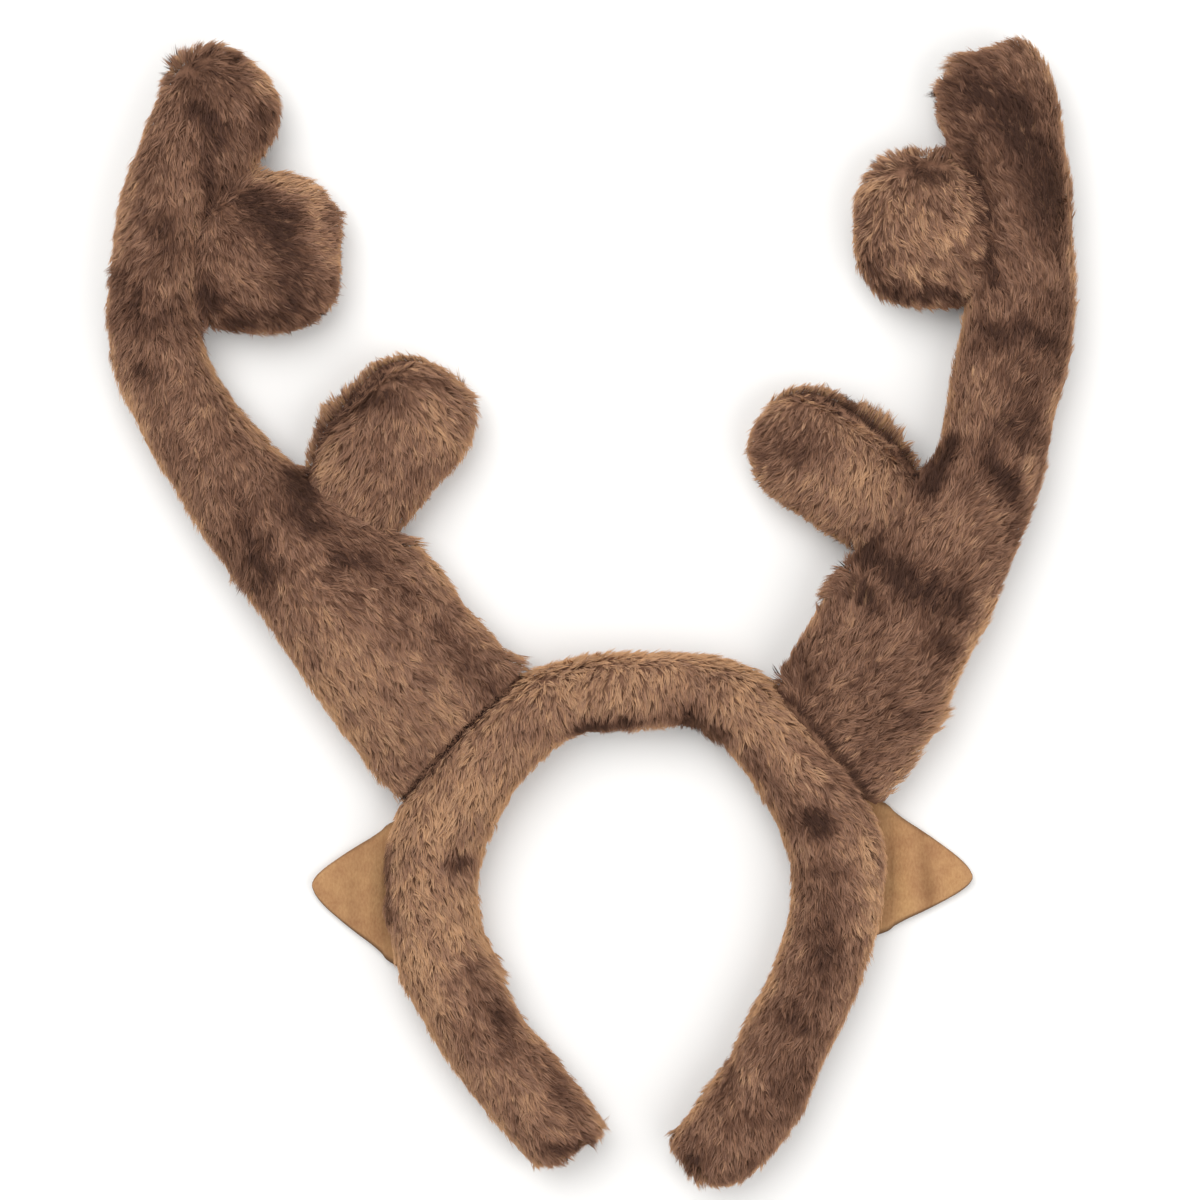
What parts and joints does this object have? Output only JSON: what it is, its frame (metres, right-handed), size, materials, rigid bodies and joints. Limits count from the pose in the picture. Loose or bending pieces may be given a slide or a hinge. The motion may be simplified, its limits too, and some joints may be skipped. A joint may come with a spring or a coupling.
{
  "type": "reindeer antler headband",
  "caption": "Stuffed plush headband, an open horseshoe with branching antlers sewn on top and small leaf-shaped ears, lying on its back.",
  "frame": {"origin": "middle of the box round the whole headband, on the surface that its back lies on", "axes": "+Z out of its front, +Y from the leg tips towards the antlers' tops, +X to the right of someone who looks at its front"},
  "size_m": [0.321, 0.3812, 0.0347],
  "materials": {
    "plush": "short brown pile, mottled",
    "suede": "flat tan suede cloth"
  },
  "bodies": {
    "root": {"headband": "plush", "antler_left": "plush", "upper_tine_left": "plush", "lower_tine_left": "plush", "ear_left": "suede", "antler_right": "plush", "upper_tine_right": "plush", "lower_tine_right": "plush", "ear_right": "suede"}
  },
  "joints": []
}
